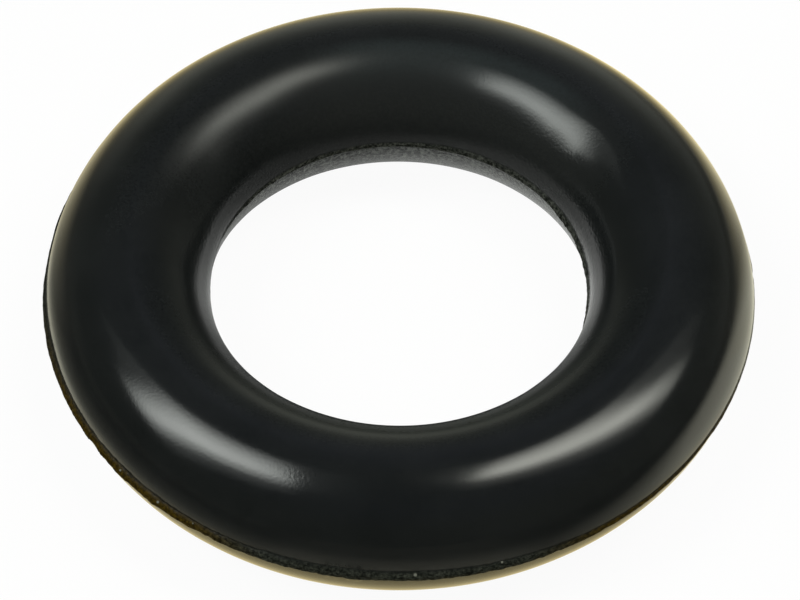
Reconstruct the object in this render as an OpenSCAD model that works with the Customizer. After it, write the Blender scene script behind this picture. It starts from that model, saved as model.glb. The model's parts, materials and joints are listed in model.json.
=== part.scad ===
// O-ring: a moulded rubber sealing ring of round section.
// The mould's two halves meet on the ring's mid-plane. What squeezed out between
// them was tumbled off, and left a low ridge of flash round the inside and the outside.
// Millimetres. +Z is the ring's axis, and the origin is its centre on the parting plane.

/* [Ring] */
// Inside diameter of the moulded ring, without its flash
inside_d = 6; // [3:0.1:60]
// Diameter of the round section
section_d = 2.5; // [1.5:0.05:8]

/* [Parting line] */
// Thickness of the flash, along the ring's axis
flash_t = 0.16; // [0.06:0.01:0.4]
// Height that the outer flash stands above the section
outer_flash_h = 0.09; // [0.02:0.01:0.3]
// Height that the inner flash stands above the section
inner_flash_h = 0.04; // [0.02:0.01:0.3]
// Radius of the fillet where the flash runs into the section
flash_root_r = 0.05; // [0.01:0.01:0.2]

/* [Hidden] */
rubber_colour = "#1c1e1d";
$fn = 160;
section_r = section_d / 2;
// Radius of the circle that the middle of the section runs round
centreline_r = inside_d / 2 + section_r;

// Fillet between the section's circle and the upper face of the flash, on the +X side:
// a wedge from the section's centre, cut back by the fillet's own circle.
module root_fillet() {
    fillet_z = flash_t / 2 + flash_root_r;
    fillet_x = sqrt(pow(section_r + flash_root_r, 2) - pow(fillet_z, 2));
    difference() {
        polygon([[0, 0], [fillet_x, 0], [fillet_x, fillet_z]]);
        translate([fillet_x, fillet_z]) circle(r = flash_root_r);
    }
}

// Flash on the +X side of the section: a land of parallel faces, filleted at its root
module flash(height) {
    translate([0, -flash_t / 2]) square([section_r + height, flash_t]);
    root_fillet();
    mirror([0, 1]) root_fillet();
}

// Section through one side of the ring, with the ring's axis towards -X
module ring_section() {
    circle(r = section_r);
    flash(outer_flash_h);
    mirror([1, 0]) flash(inner_flash_h);
}

module o_ring() {
    color(rubber_colour)
        rotate_extrude() translate([centreline_r, 0]) ring_section();
}

o_ring();
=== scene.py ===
"""A moulded rubber o-ring, lying flat: the ring with its ragged parting-line flash, on a pale studio floor.

Everything is in metres, in the part's own frame: the ring's centre is the origin and +Z is its axis.
"""

import json
import math
from typing import NamedTuple

import bpy
import numpy as np
from mathutils import Matrix, Vector


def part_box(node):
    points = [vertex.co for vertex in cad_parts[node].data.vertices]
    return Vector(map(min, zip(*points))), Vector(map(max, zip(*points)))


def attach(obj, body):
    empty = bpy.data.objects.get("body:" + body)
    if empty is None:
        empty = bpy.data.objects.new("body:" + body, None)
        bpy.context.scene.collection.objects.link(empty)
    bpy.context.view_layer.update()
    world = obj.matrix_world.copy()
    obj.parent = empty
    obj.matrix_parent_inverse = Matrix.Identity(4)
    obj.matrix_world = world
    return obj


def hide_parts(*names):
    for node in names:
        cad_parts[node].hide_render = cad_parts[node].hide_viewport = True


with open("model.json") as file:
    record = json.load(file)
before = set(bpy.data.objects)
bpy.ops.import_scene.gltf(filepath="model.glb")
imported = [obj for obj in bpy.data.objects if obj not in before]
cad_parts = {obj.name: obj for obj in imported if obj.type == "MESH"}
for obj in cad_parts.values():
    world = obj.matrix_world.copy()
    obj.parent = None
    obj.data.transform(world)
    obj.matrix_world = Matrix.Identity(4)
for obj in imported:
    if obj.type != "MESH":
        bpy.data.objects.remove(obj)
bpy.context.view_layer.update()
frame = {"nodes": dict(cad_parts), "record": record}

MM = 0.001
NODE = "o_ring"
SEED = 61

# ---------------------------------------------------------------- sizes from the frame


def mount(name):
    """A mount's radius and length in metres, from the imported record."""
    dims = next(m for m in frame["record"]["mounts"] if m["name"] == name)["dims"]
    return dims["r_mm"] * MM, dims["length_mm"] * MM


def crown_radius():
    """Radius of the circle that the ring's highest points lie on, which is its section's centreline."""
    points = np.array([v.co for v in frame["nodes"][NODE].data.vertices])
    crown = points[points[:, 2] > points[:, 2].max() - 0.001 * MM]
    return float(np.hypot(crown[:, 0], crown[:, 1]).mean())


INNER_LAND_R, FLASH_T = mount("inside_diameter")
OUTER_LAND_R, _ = mount("outside_diameter")
SECTION_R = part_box(NODE)[1].z
CENTRE_R = crown_radius()
OUTER_FLASH_H = OUTER_LAND_R - CENTRE_R - SECTION_R
INNER_FLASH_H = CENTRE_R - SECTION_R - INNER_LAND_R
FLOOR_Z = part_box(NODE)[0].z

# ---------------------------------------------------------------- the flash


class Flash(NamedTuple):
    """The flash on one side of the ring. Azimuth 0 is +X and 90 is +Y, in degrees."""

    # Its direction from the section's centre, in degrees from straight outwards
    middle: float
    # Its height in the CAD model, the share of that which it has on average, and how rough its edge is
    height: float
    level: float
    rough: float
    # Places where a bit is torn out or stands up: (azimuth, half width in degrees, share of the height left)
    tears: tuple
    # Round the ring, as (azimuth, value): the share of the height that is a soft swell, the share of the
    # full thickness that the flash has, and how crumbly it is
    swell: tuple
    width: tuple
    crumb: tuple


OUTER_FLASH = Flash(
    middle=0,
    height=OUTER_FLASH_H,
    level=0.96,
    rough=1.0,
    tears=(
        (2.9, 0.7, 0.45),
        (15.0, 8.0, 0.5),
        (-31.0, 1.2, 0.8),
        (173.0, 5.0, 0.75),
        (213.0, 1.0, 0.7),
        (221.0, 1.4, 1.2),
        (228.0, 0.8, 1.2),
        (238.0, 1.8, 0.8),
        (263.0, 1.4, 1.1),
        (296.0, 2.2, 0.8),
    ),
    swell=((0, 0.80), (14, 0.60), (40, 0.70), (120, 0.40), (178, 0.50), (196, 0.33), (225, 0.20), (270, 0.30),
           (315, 0.60)),
    width=((0, 0.6), (120, 0.7), (200, 0.6), (235, 0.7), (265, 1.0), (290, 0.85), (312, 0.5)),
    crumb=((0, 0.20), (50, 0.25), (120, 0.35), (180, 0.35), (215, 1.0), (300, 1.0), (330, 0.6)),
)
INNER_FLASH = Flash(
    middle=180,
    height=INNER_FLASH_H,
    level=0.90,
    rough=3.2,
    tears=(
        (-24.0, 11.0, 0.1),
        (6.0, 4.0, 1.15),
        (23.0, 13.0, 1.5),
        (88.0, 1.2, 1.7),
        (118.0, 3.0, 1.4),
        (163.0, 5.0, 0.5),
        (180.0, 4.0, 1.3),
        (204.0, 8.0, 0.4),
    ),
    swell=((0, 0.45), (28, 0.20), (60, 0.40), (90, 0.75), (118, 0.60), (136, 0.25), (153, 0.30), (175, 0.85),
           (225, 0.85), (300, 0.50)),
    width=((0, 0.65), (25, 0.80), (60, 0.65), (90, 0.50), (140, 0.50), (225, 0.75)),
    crumb=((0, 0.6), (60, 0.6), (90, 0.8), (120, 0.7), (170, 0.15), (225, 0.15), (300, 0.5)),
)

# The flash tapers from its root to a narrower crest: both are shares of its thickness
CREST_SHARE, ROOT_SHARE = 0.36, 1.4
# Half width, in degrees round the section, of the soft swell that the flash stands on
SWELL_HALF = 20.0
# Noise along the flash's edge, as octaves of (random values round the ring, weight), and how much more of
# it there is in the thickness
EDGE_NOISE = ((11, 0.05), (43, 0.05), (150, 0.06), (420, 0.05))
THICKNESS_ROUGH = 1.5
# The crumbly skin reaches further than the flash's own thickness by this factor
CRUMB_REACH = 1.3
# Lumps of the crumbly flash, in millimetres: one for each point, and a coarser one for every few rows
FINE_LUMP, COARSE_LUMP, LUMP_ROWS = 0.004, 0.005, 3

# ---------------------------------------------------------------- the ring's mesh

STEPS_ROUND = 1080
# Angles round a quarter of the section, in degrees from the flash's plane, outside the flash itself
QUARTER_STEPS = (11, 15, 20, 26, 33, 41, 49, 57, 65, 73, 81.5)
# Steps across the flash, and how far past its mean root they reach
FLASH_STEPS, FLASH_MARGIN = 17, 1.15
# The upper half of the mould sat this far towards +X over the lower half, and the step has this half height
MISMATCH, MISMATCH_STEP = 0.018 * MM, 0.06 * MM
# Shallow flats on the ring's inner shoulder: the azimuths between which each sets in and runs out, and its
# size. Their band round the section has this middle and half width, where 90 is the section's top.
FLATS = (
    ((124.0, 150.0), (162.0, 195.0), 0.068 * MM),
    ((14.0, 31.0), (35.0, 47.0), 0.026 * MM),
)
FLAT_MIDDLE, FLAT_BAND, FLAT_GAIN = 112.0, 60.0, 1.3


def ring_noise(rng, cells, count=STEPS_ROUND):
    """Smooth noise round the ring, between about -1 and 1, with that many random values in a full turn."""
    values = rng.uniform(-1, 1, cells)
    at = np.arange(count) * cells / count
    low = np.floor(at).astype(int)
    part = at - low
    share = part * part * (3 - 2 * part)
    return values[low % cells] * (1 - share) + values[(low + 1) % cells] * share


def rough_edge(rng):
    """Noise round the ring, summed over the octaves of the flash's edge."""
    return sum(weight * ring_noise(rng, cells) for cells, weight in EDGE_NOISE)


def torn(azimuths, tears):
    """Share of the flash's height that is left at each azimuth."""
    left = np.ones_like(azimuths)
    for centre, half, share in tears:
        off = (azimuths - centre + 180) % 360 - 180
        left *= 1 + (share - 1) * np.exp(-((off / half) ** 4))
    return left


def ease(value, low, high):
    """Smooth step from 0 at low to 1 at high."""
    share = np.clip((value - low) / (high - low), 0, 1)
    return share * share * (3 - 2 * share)


def round_the_ring(azimuths, keys):
    """A value that eases from key to key round the ring. The keys are (azimuth, value), from azimuth 0 up."""
    places, values = zip(*keys)
    places, values = np.array(places + (places[0] + 360,)), np.array(values + (values[0],))
    at = np.searchsorted(places, azimuths, "right") - 1
    share = ease(azimuths, places[at], places[at + 1])
    return values[at] * (1 - share) + values[at + 1] * share


def section_angles():
    """Angles round the section where the mesh has its points, in degrees from the outer flash."""
    flash_z = np.linspace(-1, 1, FLASH_STEPS) * ROOT_SHARE * FLASH_T / 2 * FLASH_MARGIN
    flash = np.degrees(np.arcsin(flash_z / SECTION_R))
    up = np.array(QUARTER_STEPS)
    half = np.concatenate([flash, up, [90.0], 180 - up[::-1]])
    return np.concatenate([half, half + 180])


def flash_share(angle, thickness):
    """1 on the flash's crest, easing to 0 at its root, for angles in degrees from the flash's plane."""
    z = np.abs(SECTION_R * np.sin(np.radians(angle)))
    share = 1 - ease(z, CREST_SHARE * thickness / 2, ROOT_SHARE * thickness / 2)
    return share * (np.cos(np.radians(angle)) > 0)


def lumps(crumbly):
    """Small random lumps where the flash is crumbly, none on the round section."""
    rng = np.random.default_rng(SEED + 1)
    fine = rng.uniform(-1, 1, crumbly.shape)
    coarse = np.repeat(rng.uniform(-1, 1, (STEPS_ROUND // LUMP_ROWS, crumbly.shape[1])), LUMP_ROWS, 0)
    return crumbly**2 * (FINE_LUMP * fine + COARSE_LUMP * coarse) * MM


def flat(azimuths, angles):
    """The shallow flats' push on the shoulder: out on a flat's outer side and in on its inner side."""
    across = np.clip((angles - FLAT_MIDDLE) / FLAT_BAND, -1, 1)
    along = sum(size * ease(azimuths, *start) * (1 - ease(azimuths, *end)) for start, end, size in FLATS)
    return -along * np.sin(math.pi * across) * np.cos(math.pi / 2 * across) ** 2 * FLAT_GAIN


def ring_points():
    """Azimuths of the mesh's rows, with each point's x and z from the centreline and how crumbly it is."""
    rng = np.random.default_rng(SEED)
    azimuths = np.arange(STEPS_ROUND) * 360 / STEPS_ROUND
    angles = section_angles()[None, :]
    reach = np.full((STEPS_ROUND, angles.shape[1]), SECTION_R)
    crumbly = np.zeros_like(reach)
    for side in (OUTER_FLASH, INNER_FLASH):
        edge = side.height * torn(azimuths, side.tears) * (side.level + side.rough * rough_edge(rng))
        rough_width = 1 + THICKNESS_ROUGH * rough_edge(rng)
        thickness = (FLASH_T * round_the_ring(azimuths, side.width) * rough_width)[:, None]
        swell = round_the_ring(azimuths, side.swell)[:, None]
        off = (angles - side.middle + 180) % 360 - 180
        share = flash_share(off, thickness)
        soft = np.exp(-((off / SWELL_HALF) ** 2))
        reach += side.level * side.height * swell * soft + edge[:, None] * (1 - swell) * share
        crumb = round_the_ring(azimuths, side.crumb)[:, None]
        crumbly += flash_share(off, CRUMB_REACH * thickness) * crumb
    reach += lumps(crumbly)
    reach += flat(azimuths[:, None], angles)
    x, z = reach * np.cos(np.radians(angles)), reach * np.sin(np.radians(angles))
    x += MISMATCH * np.cos(np.radians(azimuths))[:, None] * ease(z, -MISMATCH_STEP, MISMATCH_STEP)
    return azimuths, x, z, crumbly


def build_ring():
    """The dressed ring as one closed mesh, with a 'flash' value on each vertex."""
    azimuths, x, z, crumbly = ring_points()
    rows, columns = x.shape
    a = np.radians(azimuths)[:, None]
    radius = CENTRE_R + x
    points = np.stack([radius * np.cos(a), radius * np.sin(a), z], 2).reshape(-1, 3)
    i, j = np.meshgrid(np.arange(rows), np.arange(columns), indexing="ij")
    i2, j2 = (i + 1) % rows, (j + 1) % columns
    corners = [i * columns + j, i2 * columns + j, i2 * columns + j2, i * columns + j2]
    quads = np.stack(corners, 2).reshape(-1, 4)
    mesh = bpy.data.meshes.new("ring")
    mesh.from_pydata(points.tolist(), [], quads.tolist())
    mesh.polygons.foreach_set("use_smooth", np.ones(len(mesh.polygons), bool))
    flash = mesh.attributes.new("flash", "FLOAT", "POINT")
    flash.data.foreach_set("value", crumbly.reshape(-1).astype(np.float32))
    mesh.update()
    ring = bpy.data.objects.new("ring", mesh)
    bpy.context.scene.collection.objects.link(ring)
    return ring


# ---------------------------------------------------------------- node trees


class Value:
    """A node's output that takes part in sums, so that a shader reads like a formula."""

    def __init__(self, nodes, socket):
        self.nodes, self.socket = nodes, socket

    def __add__(self, other):
        return self.nodes.math("ADD", self, other)

    def __sub__(self, other):
        return self.nodes.math("SUBTRACT", self, other)

    def __rsub__(self, other):
        return self.nodes.math("SUBTRACT", other, self)

    def __mul__(self, other):
        return self.nodes.math("MULTIPLY", self, other)

    def __truediv__(self, other):
        return self.nodes.math("DIVIDE", self, other)


class Nodes:
    """Short calls for building a node tree."""

    def __init__(self, tree):
        self.tree = tree
        tree.nodes.clear()

    def add(self, kind, **inputs):
        """A new node. An input's name has _ for each space."""
        node = self.tree.nodes.new(kind)
        for name, value in inputs.items():
            self.set(node, name.replace("_", " "), value)
        return node

    def set(self, node, key, value):
        """Sets an input, by its name or its number, to a value or to another node's output."""
        socket = value.socket if isinstance(value, Value) else value
        if isinstance(socket, bpy.types.NodeSocket):
            self.tree.links.new(socket, node.inputs[key])
        else:
            node.inputs[key].default_value = socket

    def read(self, kind, output, **inputs):
        """A new node's output, by its name."""
        return Value(self, self.add(kind, **inputs).outputs[output])

    def split(self, vector):
        """A vector's x, y and z."""
        outputs = self.add("ShaderNodeSeparateXYZ", Vector=vector).outputs
        return (Value(self, outputs[axis]) for axis in "XYZ")

    def math(self, operation, *values, clamp=False):
        node = self.tree.nodes.new("ShaderNodeMath")
        node.operation, node.use_clamp = operation, clamp
        for k, value in enumerate(values):
            self.set(node, k, value)
        return Value(self, node.outputs[0])

    def length(self, x, y):
        return self.math("SQRT", x * x + y * y)

    def highest(self, first, *others):
        """The largest of the values."""
        for other in others:
            first = self.math("MAXIMUM", first, other)
        return first

    def ramp(self, value, stops, blend="LINEAR"):
        """A colour ramp whose stops are (place, grey)."""
        node = self.tree.nodes.new("ShaderNodeValToRGB")
        node.color_ramp.interpolation = blend
        elements = node.color_ramp.elements
        while len(elements) < len(stops):
            elements.new(0.5)
        for element, (place, grey) in zip(elements, stops):
            element.position = place
            element.color = (grey, grey, grey, 1)
        self.set(node, 0, value)
        return Value(self, node.outputs["Color"])

    def ease(self, value, *stops):
        """A ramp that eases from stop to stop."""
        return self.ramp(value, stops, "EASE")

    def noise(self, where, size, detail=3.0, rough=0.55):
        """Noise between 0 and 1, with features of about that size in metres."""
        inputs = {"Scale": 1 / size, "Detail": detail, "Roughness": rough}
        return self.read("ShaderNodeTexNoise", "Fac", Vector=where, **inputs)

    def mix(self, share, a, b):
        """The colour a where the share is 0 and b where it is 1."""
        node = self.tree.nodes.new("ShaderNodeMix")
        node.data_type = "RGBA"
        for k, value in ((0, share), (6, a), (7, b)):
            self.set(node, k, value)
        return Value(self, node.outputs[2])

    def mix_shaders(self, share, a, b):
        node = self.add("ShaderNodeMixShader", Fac=share)
        for k, shader in ((1, a), (2, b)):
            self.set(node, k, shader.outputs[0])
        return node


# ---------------------------------------------------------------- rubber

# The skin's darker and paler colour, and what it turns into where light is painted on it: a painted grey
# sheen on the far side, a painted sheen on the far inner shoulder, and a painted reflection on the near
# side's inner lip
SKIN_DARK = (0.0066, 0.0077, 0.0077, 1)
SKIN_PALE = (0.0124, 0.0137, 0.0139, 1)
FAR_SHEEN = (0.024, 0.031, 0.033, 1)
SHOULDER_SHEEN = (0.0215, 0.0228, 0.0222, 1)
LIP_REFLECTION = (0.033, 0.035, 0.031, 1)
# The fine powder on the far wall of the hole, below the flash, whose pale colour is partly a painted
# reflection of the lit floor
POWDER_AND_REFLECTION = (0.18, 0.188, 0.176, 1)
# The flash's dark and pale crumbs: grey, and olive at the front left and right, where the olive is a painted
# reflection of the tan floor
GREY_DARK = (0.007, 0.008, 0.006, 1)
GREY_PALE = (0.055, 0.058, 0.046, 1)
INNER_PALE = (0.14, 0.145, 0.125, 1)
OLIVE_DARK = (0.018, 0.011, 0.001, 1)
OLIVE_PALE = (0.085, 0.054, 0.005, 1)
# Pale specks of dust: azimuth and angle round the section in degrees, and radius in millimetres
SPECKS = (
    (272.8, 3.0, 0.030),
    (84.0, 189.7, 0.032),
    (97.0, 187.0, 0.022),
    (111.0, 188.0, 0.020),
    (220.3, 2.0, 0.022),
    (229.0, 2.0, 0.024),
    (236.0, 3.0, 0.020),
    (286.5, 4.0, 0.022),
    (254.2, 70.6, 0.010),
    (218.2, 48.2, 0.010),
    (282.5, 70.5, 0.010),
)
SPECK_COLOUR = (0.18, 0.18, 0.15, 1)
# The specks' middles lie this far out, in the section's radius
SPECK_REACH = 1.04
# Sizes of the noises: the skin's patches and speckle, the crumbs, the powder, the gloss's haze and its fine
# grain, the dust in the hole, and the grain that stands out of the skin, with its depth
PATCH_SIZE, SPECKLE_SIZE = 0.9 * MM, 0.05 * MM
CRUMB_SIZE, POWDER_SIZE = 0.05 * MM, 0.07 * MM
HAZE_SIZE, FINE_SIZE, DUST_SIZE = 2.2 * MM, 0.16 * MM, 0.03 * MM
GRAIN_SIZE, GRAIN_DEPTH = 0.045 * MM, 0.012 * MM
# Directions from the ring's axis, as (x, y): of the middle of the far side's painted sheen, and of the most
# worn part of the skin
FAR_SHEEN_WAY = (0.26, 0.97)
WORN_WAY = (-0.6, 0.8)
# Roughness of the plain skin, and what the haze, the fine grain, the far part, the near side's lip and the
# flash add to it
PLAIN_ROUGH, HAZE_ROUGH, FINE_ROUGH, FAR_ROUGH, LIP_ROUGH, FLASH_ROUGH = 0.10, 0.04, 0.04, 0.09, 0.14, 0.35
# Specular level of the plain skin, and what wear, the flash, the near side's shoulder and lip, the pebbled
# quarters and the dust in the hole take off it
PLAIN_SPECULAR = 0.5
WORN_DULL, FLASH_DULL, NEAR_DULL, LIP_DULL, PEBBLED_DULL, DUST_DULL = 0.21, 0.48, 0.33, 0.14, 0.13, 0.14
# Share of the grain's depth on the pebbled quarters, the flash and the wall of the hole
PEBBLED_GRAIN, FLASH_GRAIN, WALL_GRAIN = 0.08, 1.6, 0.35


class RingPlace:
    """Where a point of the ring's skin lies, as values for its material.

    x, y and reach, the distance from the ring's axis, are in the radius of the ring's centreline, and
    height is in the radius of its section. The others are masks: front and behind are 1 well to that side
    of the axis, nearest is 1 round the ring's nearest point, wall on the wall of the hole, flash on the
    crumbly flash, and pebbled on two opposite quarters of the ring.
    """

    def __init__(self, n):
        self.where = n.read("ShaderNodeTexCoord", "Object")
        x, y, z = n.split(self.where)
        self.x, self.y, self.height = x / CENTRE_R, y / CENTRE_R, z / SECTION_R
        self.reach = n.length(self.x, self.y)
        self.front = n.ease(self.y * -1.0, (0.0, 0.0), (0.5, 1.0))
        self.behind = n.ease(self.y, (0.0, 0.0), (0.5, 1.0))
        self.nearest = n.ramp(self.y * -1.0 / self.reach, ((0.55, 0.12), (0.97, 1.0)))
        self.wall = n.ease(self.reach, (0.74, 1.0), (0.84, 0.0))
        self.pebbled = n.ease(self.x * self.y + 0.5, (0.2, 0.25), (0.8, 1.0))
        crumbly = n.tree.nodes.new("ShaderNodeAttribute")
        crumbly.attribute_name = "flash"
        smooth = n.math("SUBTRACT", 1.0, crumbly.outputs["Fac"], clamp=True)
        self.flash = 1.0 - smooth * smooth


def skin_colour(n, at):
    """Near black, mottled, with a painted grey sheen behind, a painted reflection on the inner lip in front,
    and powder in the hole that is partly a painted reflection.
    """
    patches = n.noise(at.where, PATCH_SIZE, 4)
    speckle = n.noise(at.where, SPECKLE_SIZE, 3, 0.6)
    mottle = n.ramp(patches * 0.4 + speckle * 0.6, ((0.35, 0.0), (0.65, 1.0)))
    skin = n.mix(mottle, SKIN_DARK, SKIN_PALE)
    half_reach = at.reach * 0.5
    # Painted grey sheen on the far side: the skin is made paler there in place of reflected light.
    towards = (at.x * FAR_SHEEN_WAY[0] + at.y * FAR_SHEEN_WAY[1]) / at.reach
    far_sheen = n.ease(towards, (0.78, 0.0), (0.95, 1.0))
    far_sheen = far_sheen * n.ease(half_reach, (0.395, 0.0), (0.435, 1.0), (0.465, 1.0), (0.50, 0.0))
    skin = n.mix(far_sheen * (mottle * 0.5 + 0.5), skin, FAR_SHEEN)
    # Painted sheen on the far inner shoulder: paler skin in place of reflected light.
    shoulder_sheen = n.ease(towards, (0.45, 0.0), (0.92, 0.8))
    shoulder_sheen = shoulder_sheen * n.ease(half_reach, (0.37, 1.0), (0.41, 0.95), (0.45, 0.55), (0.50, 0.15))
    skin = n.mix(shoulder_sheen, skin, SHOULDER_SHEEN)
    # Painted reflection on the near side's inner lip: paler skin in place of reflected light.
    lip = n.ease(half_reach, (0.385, 0.25), (0.400, 0.75), (0.416, 0.85), (0.434, 0.60), (0.455, 0.0))
    skin = n.mix(lip * at.front * at.nearest, skin, LIP_REFLECTION)
    # Powder on the far wall of the hole, below the flash: partly real dust and partly a painted reflection of
    # the lit floor.
    powder_and_reflection = n.ramp(n.noise(at.where, POWDER_SIZE, 4, 0.75), ((0.44, 0.0), (0.60, 1.0)))
    lower = n.ramp(at.height + 0.5, ((0.42, 1.0), (0.52, 0.02)))
    return n.mix(powder_and_reflection * lower * (at.wall * at.behind), skin, POWDER_AND_REFLECTION)


def flash_colour(n, at):
    """Grey crumbs, paler inside the ring, and olive ones at the front left and right, whose olive is a
    painted reflection of the tan floor.
    """
    crumb = n.ramp(n.noise(at.where, CRUMB_SIZE, 5, 0.7), ((0.42, 0.0), (0.68, 1.0)))
    grey_pale = n.mix(n.math("LESS_THAN", at.reach, 1.0), GREY_PALE, INNER_PALE)
    grey = n.mix(crumb, GREY_DARK, grey_pale)
    # The olive at the front left and right is a painted reflection of the tan floor on the crumbs.
    olive = n.mix(crumb, OLIVE_DARK, OLIVE_PALE)
    sideways = n.math("ABSOLUTE", at.x) / at.reach
    return n.mix(n.ease(sideways, (0.35, 0.0), (0.60, 1.0)) * at.front, grey, olive)


def with_specks(n, at, colour):
    """The colour with the pale specks of dust on it."""
    for azimuth, angle, size in SPECKS:
        a, s = math.radians(azimuth), math.radians(angle)
        out = CENTRE_R + SECTION_R * SPECK_REACH * math.cos(s)
        gap = n.tree.nodes.new("ShaderNodeVectorMath")
        gap.operation = "DISTANCE"
        n.set(gap, 0, at.where)
        n.set(gap, 1, (out * math.cos(a), out * math.sin(a), SECTION_R * math.sin(s)))
        gap = Value(n, gap.outputs["Value"])
        colour = n.mix(n.ramp(gap / (size * MM), ((0.7, 1.0), (1.0, 0.0))), colour, SPECK_COLOUR)
    return colour


def gloss(n, at):
    """The skin's roughness and its specular level: satin, and duller where it is worn, dusty or crumbly."""
    towards_worn = (at.x * WORN_WAY[0] + at.y * WORN_WAY[1]) * 0.5 + 0.5
    haze = n.noise(at.where, HAZE_SIZE, 2)
    fine = n.noise(at.where, FINE_SIZE, 4, 0.6)
    far = n.ease(towards_worn, (0.66, 0.0), (0.86, 1.0))
    lip = n.ease(at.reach, (0.84, LIP_ROUGH), (0.92, 0.0)) * at.front
    roughness = haze * HAZE_ROUGH + fine * FINE_ROUGH + far * FAR_ROUGH + PLAIN_ROUGH + lip
    roughness = n.math("ADD", roughness, at.flash * FLASH_ROUGH, clamp=True)

    worn = n.ease(towards_worn, (0.68, 0.0), (0.92, 1.0))
    near = n.ease(at.reach, (0.92, 1.0), (1.0, 0.0)) * n.ease(at.y * -1.0, (0.0, 0.0), (0.4, 1.0))
    lip = n.ease(at.reach, (0.83, LIP_DULL), (0.87, 0.0)) * at.nearest
    dust = n.ramp(n.noise(at.where, DUST_SIZE, 3, 0.7), ((0.40, 0.0), (0.60, DUST_DULL)))
    dull = worn * WORN_DULL + at.flash * FLASH_DULL + near * NEAR_DULL + lip * at.front
    dull = dull + at.pebbled * at.behind * PEBBLED_DULL + dust * at.wall
    return roughness, n.math("SUBTRACT", PLAIN_SPECULAR, dull, clamp=True)


def rubber():
    """Black moulded rubber: a satin skin with a fine grain, and a dull, crumbly flash."""
    material = bpy.data.materials.new("moulded_rubber")
    material.use_nodes = True
    n = Nodes(material.node_tree)
    at = RingPlace(n)
    colour = with_specks(n, at, n.mix(at.flash, skin_colour(n, at), flash_colour(n, at)))
    roughness, specular = gloss(n, at)
    grain = n.noise(at.where, GRAIN_SIZE, 2, 0.5)
    depth = at.pebbled * PEBBLED_GRAIN + at.flash * FLASH_GRAIN + at.wall * WALL_GRAIN
    normal = n.read("ShaderNodeBump", "Normal", Strength=1.0, Distance=GRAIN_DEPTH, Height=grain * depth)
    shader = n.add("ShaderNodeBsdfPrincipled", Base_Color=colour, Roughness=roughness, IOR=1.5, Normal=normal)
    n.set(shader, "Specular IOR Level", specular)
    n.set(n.add("ShaderNodeOutputMaterial"), "Surface", shader.outputs["BSDF"])
    return material


# ---------------------------------------------------------------- floor and world

FLOOR_SIZE = 1.2
FLOOR_COLOUR = (0.93, 0.93, 0.92, 1)
# Share of plain white in what the camera sees of the floor: the rest is lit, and has the shadow
WHITE_SHARE = 0.95
WHITE = (1, 1, 1, 1)
# The pale wall behind the ring: its brightness from low to high and from left to right, and its tint low down
# and high up
WALL_HEIGHT = ((0.0, 1.0), (0.17, 0.92), (0.34, 0.75), (0.45, 0.50), (0.55, 0.33), (0.67, 0.20), (0.80, 0.10),
               (1.0, 0.05))
WALL_ACROSS = ((0.15, 0.10), (0.25, 0.45), (0.31, 0.75), (0.40, 0.78), (0.50, 1.0), (0.60, 0.92),
               (0.66, 0.68), (0.75, 0.30), (0.85, 0.12))
WALL_LEVEL = 0.75
WALL_LOW = (1.0, 1.03, 0.88, 1)
WALL_HIGH = (0.90, 0.95, 1.25, 1)
# The room's own dim light, and what its front and its right add
ROOM_LEVEL, FRONT_LEVEL, RIGHT_LEVEL = 0.04, 0.01, 0.04
# The wall's top comes down to the left and to the right by these factors
DROP_LEFT, DROP_RIGHT = 2.5, 1.2
# What the ring's skin mirrors of the floor. Lengths on the floor are in the radius of the ring's centreline,
# and a ramp over them runs from 0 to its reach.
NEAR_REACH, WIDE_REACH, POOL_REACH = 3.0, 6.0, 1.5
# The glow round the ring's foot, with its middle, and how much brighter it gets to the left
FOOT_GLOW = ((0.0, 1.0), (0.50, 1.0), (0.56, 0.37), (0.63, 0.19), (0.75, 0.11), (1.0, 0.04))
FOOT_X, FOOT_Y, FOOT_LEFT = -0.04, 0.05, 0.08
# The floor behind the ring: by its distance, and round from the ring's sides at 0.5 to straight behind at 1
BEHIND_GLOW = ((0.0, 1.0), (0.57, 1.0), (0.73, 0.78), (0.90, 0.60), (1.0, 0.57))
BEHIND_LEVEL = 1.5
BEHIND_SIDE = ((0.50, 0.0), (0.56, 0.12), (0.67, 0.37), (0.82, 0.90), (0.93, 1.0))
# The floor in front of the ring
FRONT_GLOW = ((0.50, 1.0), (0.56, 0.52), (0.65, 0.36), (0.80, 0.20), (1.0, 0.12))
# The pool of light on the right: its middle, and how it is squeezed along X and Y
POOL_GLOW = ((0.13, 1.0), (0.33, 0.95), (0.53, 0.50), (0.72, 0.25), (1.0, 0.0))
POOL_LEVEL = 1.3
POOL_X, POOL_Y = 1.9, -0.25
POOL_SQUEEZE_X, POOL_SQUEEZE_Y = 0.45, 0.85
# The floor in the ring's hole: by its distance, round from the front at 0 to the back at 1, and how much
# brighter it gets to the right
HOLE_GLOW = ((0.0, 0.40), (0.50, 0.42), (0.62, 0.75), (0.70, 0.75), (0.77, 0.55), (0.86, 0.30), (1.0, 0.15))
HOLE_SIDE = ((0.08, 0.03), (0.3, 0.12), (0.5, 0.6), (0.75, 1.0))
HOLE_RIGHT = 0.35
# Tints of the floor: in the hole, and outside close to the ring and further out
NEUTRAL = (0.98, 1.0, 0.97, 1)
TAN = (1.0, 0.84, 0.44, 1)
CREAM = (1.0, 0.99, 0.80, 1)


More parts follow.
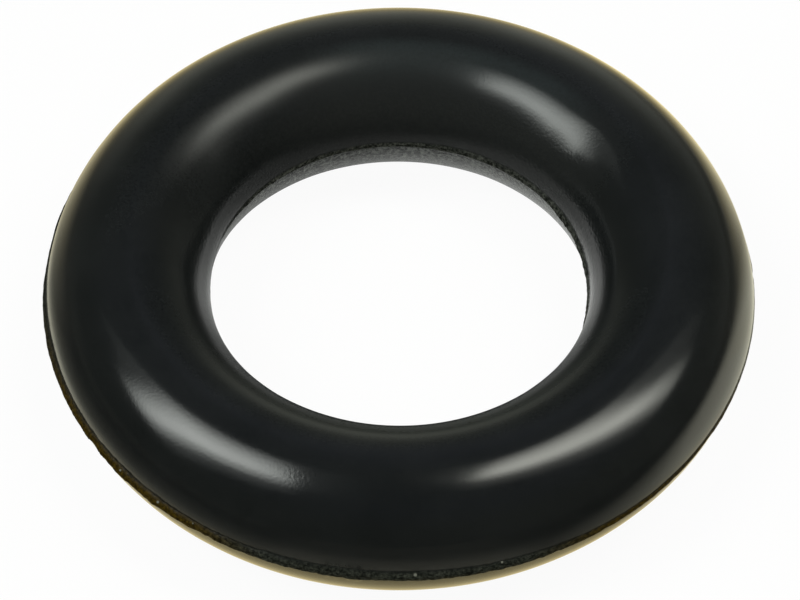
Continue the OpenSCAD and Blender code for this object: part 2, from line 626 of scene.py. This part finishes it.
def glow_level(n, x, y, reach, outside):
    """Brightness of the floor as the ring's skin mirrors it. outside is 1 outside the hole and 0 in it."""
    side = y / n.math("MAXIMUM", reach, 0.3) * 0.5 + 0.5
    from_foot = n.length(x - FOOT_X, y - FOOT_Y)
    left = n.math("MAXIMUM", x * -1.0, 0.0) * FOOT_LEFT + 1.0
    foot = n.ramp(from_foot / NEAR_REACH, FOOT_GLOW) * left

    across = n.ramp(x / reach * 0.5 + 0.5, WALL_ACROSS) * n.ramp(side, ((0.5, 0.0), (0.65, 1.0)))
    far_out = n.ramp(reach / WIDE_REACH, ((0.33, 0.0), (0.75, 1.0)))
    wide = n.mix(far_out, n.ramp(side, BEHIND_SIDE), across)
    behind = n.ramp(reach / NEAR_REACH, BEHIND_GLOW) * wide * BEHIND_LEVEL

    from_pool = n.length((x - POOL_X) * POOL_SQUEEZE_X, (y - POOL_Y) * POOL_SQUEEZE_Y)
    pool = n.ramp(from_pool / POOL_REACH, POOL_GLOW) * POOL_LEVEL
    front = n.ramp(reach / NEAR_REACH, FRONT_GLOW) * n.ease(y / (reach * -1.0), (0.80, 0.0), (0.97, 1.0))
    hole = n.ramp(reach, HOLE_GLOW) * n.ease(side, *HOLE_SIDE) * (x * HOLE_RIGHT + 1.0)
    return n.highest(foot, front, behind, pool) * outside + hole * (1.0 - outside)


def glow_tint(n, y, reach, outside):
    """Colour of the floor as the ring's skin mirrors it: neutral in the hole, and tan to cream outside."""
    ahead = n.ramp(reach / WIDE_REACH, ((0.245, 1.0), (0.29, 0.0)))
    beyond = n.ramp(reach / WIDE_REACH, ((0.45, 1.0), (0.65, 0.0)))
    tan = n.mix(n.math("GREATER_THAN", y, 0.0), ahead, beyond)
    tan = tan * n.ramp(n.math("ABSOLUTE", y / reach), ((0.2, 0.1), (0.8, 1.0)))
    return n.mix(outside, NEUTRAL, n.mix(tan, CREAM, TAN))


def floor_material():
    """White to the camera. The ring's skin mirrors it as a lit patch, brightest round the ring's foot."""
    material = bpy.data.materials.new("floor")
    material.use_nodes = True
    n = Nodes(material.node_tree)
    x, y, _ = n.split(n.read("ShaderNodeNewGeometry", "Position"))
    x, y = x / CENTRE_R, y / CENTRE_R
    reach = n.length(x, y)
    outside = n.math("GREATER_THAN", reach, 1.0)
    level = glow_level(n, x, y, reach, outside)
    tint = glow_tint(n, y, reach, outside)

    path = n.add("ShaderNodeLightPath").outputs
    lit = n.add("ShaderNodeBsdfDiffuse", Color=FLOOR_COLOUR)
    white = n.add("ShaderNodeEmission", Color=WHITE, Strength=1.0)
    glow = n.add("ShaderNodeEmission", Color=tint, Strength=level)
    seen = n.mix_shaders(n.math("MULTIPLY", path["Is Camera Ray"], WHITE_SHARE), lit, white)
    mirrored = n.math("MAXIMUM", path["Is Glossy Ray"], path["Is Transmission Ray"])
    shader = n.mix_shaders(mirrored, seen, glow)
    n.set(n.add("ShaderNodeOutputMaterial"), "Surface", shader.outputs[0])
    return material


def build_floor():
    half = FLOOR_SIZE / 2
    mesh = bpy.data.meshes.new("floor")
    corners = [(-half, -half, FLOOR_Z), (half, -half, FLOOR_Z), (half, half, FLOOR_Z), (-half, half, FLOOR_Z)]
    mesh.from_pydata(corners, [], [(0, 1, 2, 3)])
    floor = bpy.data.objects.new("floor", mesh)
    floor.data.materials.append(floor_material())
    bpy.context.scene.collection.objects.link(floor)


def build_world():
    """A dim studio with a paler wall behind the ring, and plain white where the camera looks past it all."""
    world = bpy.data.worlds.new("studio")
    bpy.context.scene.world = world
    world.use_nodes = True
    n = Nodes(world.node_tree)
    x, y, z = n.split(n.read("ShaderNodeTexCoord", "Generated"))
    behind = n.ease(y, (0.1, 0.0), (0.5, 1.0))
    left, right = n.math("MAXIMUM", x * -1.0, 0.0), n.math("MAXIMUM", x, 0.0)
    low = n.ramp(z * (left * DROP_LEFT + right * DROP_RIGHT + 1.0), WALL_HEIGHT)
    across = n.ramp(x * 0.5 + 0.5, WALL_ACROSS)
    wall = behind * (low * across) * WALL_LEVEL
    from_right = n.ramp(x, ((0.0, 0.0), (1.0, 1.0))) * RIGHT_LEVEL
    from_front = n.ramp(y * -1.0, ((0.2, 0.0), (0.7, 1.0))) * FRONT_LEVEL
    level = from_front + ROOM_LEVEL + from_right + wall
    tint = n.mix(n.ramp(z, ((0.35, 0.0), (0.75, 1.0))), WALL_LOW, WALL_HIGH)
    room = n.add("ShaderNodeBackground", Color=tint, Strength=level)
    white = n.add("ShaderNodeBackground", Color=WHITE, Strength=1.0)
    shader = n.mix_shaders(n.read("ShaderNodeLightPath", "Is Camera Ray"), room, white)
    n.set(n.add("ShaderNodeOutputWorld"), "Surface", shader.outputs[0])


# ---------------------------------------------------------------- lights

BOX_REACH = 0.30
# Both boxes' brightness across, from their -Y to their +Y edge
BOX_ACROSS = ((0.0, 0.0), (0.23, 0.07), (0.375, 0.52), (0.47, 1.0), (0.58, 1.0), (0.72, 0.73), (0.88, 0.32),
              (1.0, 0.04))
# How far a band drifts at most, and how fast it narrows as it does
DRIFT_LIMIT, NARROWING = 0.25, 4.0


def box_glow(n, along, bend):
    """A soft box's brightness: a bright band that dims, narrows and drifts along the box.

    along is the ramp of brightness towards +X. bend is (place, slope, drift): from that place outwards the
    band narrows on its +Y side and drifts away from it.
    """
    place, slope, drift = bend
    x, y, _ = n.split(n.read("ShaderNodeNewGeometry", "Parametric"))
    past = n.math("MINIMUM", n.math("MAXIMUM", (x - place) * slope, 0.0), DRIFT_LIMIT)
    band = y + past * drift
    upper = n.math("MAXIMUM", band - 0.5, 0.0)
    band = band + upper * past * NARROWING
    return n.ease(x, *along) * n.ease(band, *BOX_ACROSS)


def soft_box(name, lean, turn, spin, size, radiance, colour, along, bend):
    """A soft box aimed at the ring.

    lean is its angle from overhead towards +X, turn its angle towards +Y and spin its angle about the
    line to the ring. size is its length and width. along and bend are box_glow's.
    """
    light = bpy.data.lights.new(name, "AREA")
    light.shape = "RECTANGLE"
    light.size, light.size_y = size
    light.energy = radiance * math.pi * size[0] * size[1]
    light.color = colour
    light.use_nodes = True
    n = Nodes(light.node_tree)
    glow = n.add("ShaderNodeEmission", Strength=box_glow(n, along, bend))
    n.set(n.add("ShaderNodeOutputLight"), "Surface", glow.outputs[0])
    box = bpy.data.objects.new(name, light)
    bpy.context.scene.collection.objects.link(box)
    lean, turn = math.radians(lean), math.radians(turn)
    towards = Vector((math.sin(lean) * math.cos(turn), math.sin(turn), math.cos(lean) * math.cos(turn)))
    length = Vector((math.cos(lean), 0, -math.sin(lean)))
    width = towards.cross(length)
    aim = Matrix((length, width, towards)).transposed() @ Matrix.Rotation(math.radians(spin), 3, "Z")
    box.matrix_world = Matrix.Translation(towards * BOX_REACH) @ aim.to_4x4()
    box.visible_camera = False


def build_lights():
    soft_box(
        "box_right",
        lean=34.6,
        turn=2.4,
        spin=8,
        size=(0.274, 0.23),
        radiance=7.8,
        colour=(1.0, 1.02, 0.92),
        along=((0.0, 0.9), (0.10, 1.0), (0.52, 1.0), (0.66, 0.80), (0.76, 0.57), (0.86, 0.40), (1.0, 0.10)),
        bend=(0.28, 0.85, 0.0),
    )
    soft_box(
        "box_left",
        lean=-39.0,
        turn=-5.7,
        spin=-25,
        size=(0.232, 0.28),
        radiance=8.1,
        colour=(0.97, 1.02, 0.97),
        along=((0.0, 0.15), (0.10, 0.50), (0.22, 0.80), (0.38, 0.92), (0.56, 1.0), (0.8, 0.90), (1.0, 0.65)),
        bend=(0.50, -0.65, 0.32),
    )


# ---------------------------------------------------------------- camera

# Distance from the ring's centre, and elevation and roll in degrees
CAMERA_DISTANCE = 79.0 * MM
CAMERA_ELEVATION = 51.39
CAMERA_ROLL = 0.17
# Blender takes the sensor and the lens in millimetres
SENSOR_WIDTH = 36.0
LENS = 226.2
PICTURE_WIDTH, PICTURE_HEIGHT = 800, 600
# Pixel at which the ring's centre lies
CENTRE_PIXEL = (398.2, 289.15)


def build_camera():
    data = bpy.data.cameras.new("camera")
    data.sensor_width = SENSOR_WIDTH
    data.lens = LENS
    data.clip_start, data.clip_end = 5 * MM, 10.0
    data.shift_x = (PICTURE_WIDTH / 2 - CENTRE_PIXEL[0]) / PICTURE_WIDTH
    data.shift_y = (CENTRE_PIXEL[1] - PICTURE_HEIGHT / 2) / PICTURE_WIDTH
    camera = bpy.data.objects.new("camera", data)
    bpy.context.scene.collection.objects.link(camera)
    e = math.radians(CAMERA_ELEVATION)
    back = Vector((0, -math.cos(e), math.sin(e)))
    turn = back.to_track_quat("Z", "Y").to_matrix() @ Matrix.Rotation(math.radians(CAMERA_ROLL), 3, "Z")
    camera.matrix_world = Matrix.Translation(back * CAMERA_DISTANCE) @ turn.to_4x4()
    bpy.context.scene.camera = camera


# ---------------------------------------------------------------- the scene

bpy.context.scene.view_settings.view_transform = "Standard"
build_camera()
build_world()
build_lights()
build_floor()

ring = build_ring()
ring.data.materials.append(rubber())
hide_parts(NODE)
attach(ring, "root")
